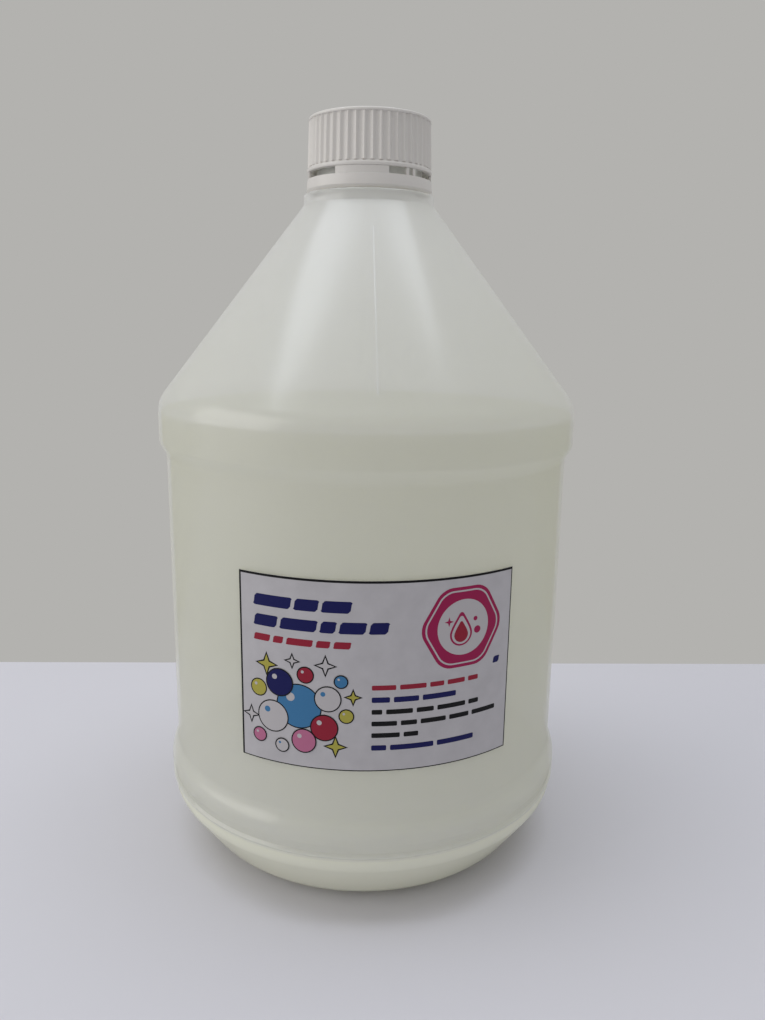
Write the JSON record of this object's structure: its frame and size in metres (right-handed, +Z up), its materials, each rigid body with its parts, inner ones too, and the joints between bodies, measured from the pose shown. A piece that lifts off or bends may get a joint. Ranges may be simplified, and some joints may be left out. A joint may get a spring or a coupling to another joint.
{
  "type": "bleach bottle",
  "caption": "Round blow-moulded jug of milky plastic with a cone shoulder, recessed label panel, ribbed screw cap and tamper ring, part-filled with pale bleach.",
  "frame": {"origin": "centre of the foot, on the plane that the bottle stands on", "axes": "+Z up along the bottle's axis, label facing -Y"},
  "size_m": [0.16, 0.16, 0.278],
  "materials": {
    "bottle_plastic": "milky natural polyethylene, satin, translucent",
    "bleach_liquid": "clear pale yellow-green liquid",
    "label_sheet": "satin printed sticker with fields of colour",
    "cap_plastic": "opaque white moulded polypropylene, satin",
    "liner_foam": "white closed-cell polyethylene foam"
  },
  "bodies": {
    "bottle": {"bottle": "bottle_plastic", "bleach": "bleach_liquid", "label": "label_sheet", "tamper_ring": "cap_plastic"},
    "liner": {"cap_liner": "liner_foam"},
    "cap": {"screw_cap": "cap_plastic"}
  },
  "joints": [
    {"name": "cap_lift", "type": "slide", "parent": "bottle", "child": "liner", "axis": [0, 0, 1], "range_m": [0, 0.017]},
    {"name": "cap_turn", "type": "hinge", "parent": "liner", "child": "cap", "pos_m": [0, 0, 0.268], "axis": [0, 0, 1], "range_deg": [0, 1440]}
  ],
  "couplings": [
    {"joint": "cap_lift", "follows": "cap_turn", "m_per_rad": 0.00066845}
  ]
}
